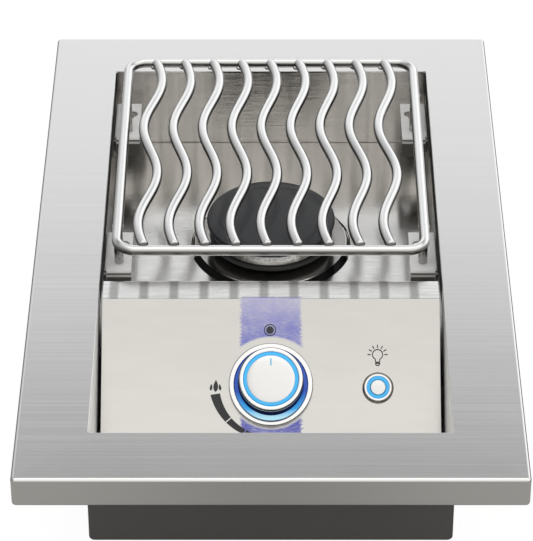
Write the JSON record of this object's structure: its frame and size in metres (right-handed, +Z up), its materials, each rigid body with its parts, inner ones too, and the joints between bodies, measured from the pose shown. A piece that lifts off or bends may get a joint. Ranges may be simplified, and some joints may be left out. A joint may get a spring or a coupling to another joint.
{
  "type": "built in side burner",
  "caption": "Drop-in gas side burner for an outdoor kitchen: wide stainless trim, sloped panel with lit knob and light button, burner, wavy rod grate.",
  "frame": {"origin": "under the middle of the trim frame, on the flat underside of the casing", "axes": "+Z up, +Y to the back, away from the cook, +X to the cook's right, so the control panel is at the -Y end"},
  "size_m": [0.3556, 0.568, 0.1171],
  "materials": {
    "brushed_stainless": "brushed stainless steel sheet",
    "bright_stainless": "bright rolled stainless steel sheet",
    "polished_rod": "polished stainless steel rod",
    "casing_coating": "dark grey coating on sheet steel",
    "cap_enamel": "semi matt dark enamel on the cast cap and bowl",
    "cast_alloy": "cast aluminium, lightly machined",
    "tube_alloy": "plain aluminium",
    "brass": "machined brass",
    "hardware_steel": "plain steel stems, springs, screws and electrode",
    "bright_chrome": "bright chrome plating",
    "satin_metal": "satin silver metal",
    "cyan_lens": "translucent light ring, lit cyan",
    "blue_lens": "translucent light ring, lit blue",
    "circuit_board": "green circuit board",
    "black_plastic": "black moulded plastic",
    "white_ceramic": "white glazed ceramic",
    "lead_sleeve": "red silicone sleeve on a wire",
    "black_sleeve": "black sleeve on a wire"
  },
  "bodies": {
    "burner_unit": {"trim_frame": "brushed_stainless", "liner_left": "brushed_stainless", "liner_right": "brushed_stainless", "liner_back": "brushed_stainless", "burner_pan": "brushed_stainless", "control_panel": "brushed_stainless", "orifice_bracket": "brushed_stainless", "grate_bracket_front_left": "bright_stainless", "grate_bracket_front_right": "bright_stainless", "grate_bracket_rear_left": "bright_stainless", "grate_bracket_rear_right": "bright_stainless", "outer_casing": "casing_coating", "burner_bowl": "cap_enamel", "burner_head": "cast_alloy", "mixing_cup": "cast_alloy", "valve_body": "cast_alloy", "valve_bonnet": "cast_alloy", "venturi_tube": "tube_alloy", "gas_feed_tube": "tube_alloy", "inlet_pipe": "tube_alloy", "button_nut": "tube_alloy", "orifice": "brass", "inlet_fitting": "brass", "inlet_locknut": "brass", "bezel_screw_left": "hardware_steel", "bezel_screw_right": "hardware_steel", "igniter_electrode": "hardware_steel", "knob_bezel": "bright_chrome", "button_housing": "bright_chrome", "button_ring_lens": "cyan_lens", "bezel_light_ring": "blue_lens", "knob_led_board": "circuit_board", "ignition_module": "black_plastic", "power_jack": "black_plastic", "electrode_ceramic": "white_ceramic", "ignition_lead": "lead_sleeve", "light_lead": "black_sleeve"},
    "valve_rotor": {"valve_plug": "brass", "stem_spring": "hardware_steel"},
    "control_knob": {"valve_stem": "hardware_steel", "knob_body": "bright_chrome", "knob_light_ring": "cyan_lens", "knob_face": "satin_metal"},
    "light_button": {"button_cap": "satin_metal"},
    "grate": {"grate_frame": "polished_rod", "wave_rod_1": "polished_rod", "wave_rod_2": "polished_rod", "wave_rod_3": "polished_rod", "wave_rod_4": "polished_rod", "wave_rod_5": "polished_rod", "wave_rod_6": "polished_rod", "wave_rod_7": "polished_rod", "wave_rod_8": "polished_rod", "wave_rod_9": "polished_rod", "grate_leg_front_left": "polished_rod", "grate_leg_front_right": "polished_rod", "grate_leg_rear_left": "polished_rod", "grate_leg_rear_right": "polished_rod"},
    "cap": {"burner_cap": "cap_enamel"},
    "shutter": {"air_shutter": "tube_alloy"}
  },
  "joints": [
    {"name": "knob_turn", "type": "hinge", "parent": "burner_unit", "child": "valve_rotor", "pos_m": [0, -0.128, 0.05492], "axis": [0, -0.6455, 0.7638], "range_deg": [0, 180]},
    {"name": "knob_push", "type": "slide", "parent": "valve_rotor", "child": "control_knob", "axis": [0, 0.6455, -0.7638], "range_m": [0, 0.003], "stiffness_N_per_m": 900, "springref_m": -0.004},
    {"name": "light_button_press", "type": "slide", "parent": "burner_unit", "child": "light_button", "axis": [0, 0.6455, -0.7638], "range_m": [0, 0.0015], "stiffness_N_per_m": 600, "springref_m": -0.0015},
    {"name": "grate_lift", "type": "slide", "parent": "burner_unit", "child": "grate", "axis": [0, 0, 1], "range_m": [0, 0.15]},
    {"name": "cap_lift", "type": "slide", "parent": "burner_unit", "child": "cap", "axis": [0, 0, 1], "range_m": [0, 0.045]},
    {"name": "air_shutter_turn", "type": "hinge", "parent": "burner_unit", "child": "shutter", "pos_m": [0, -0.0148, 0.0136], "axis": [0, 1, 0], "range_deg": [0, 60]}
  ]
}
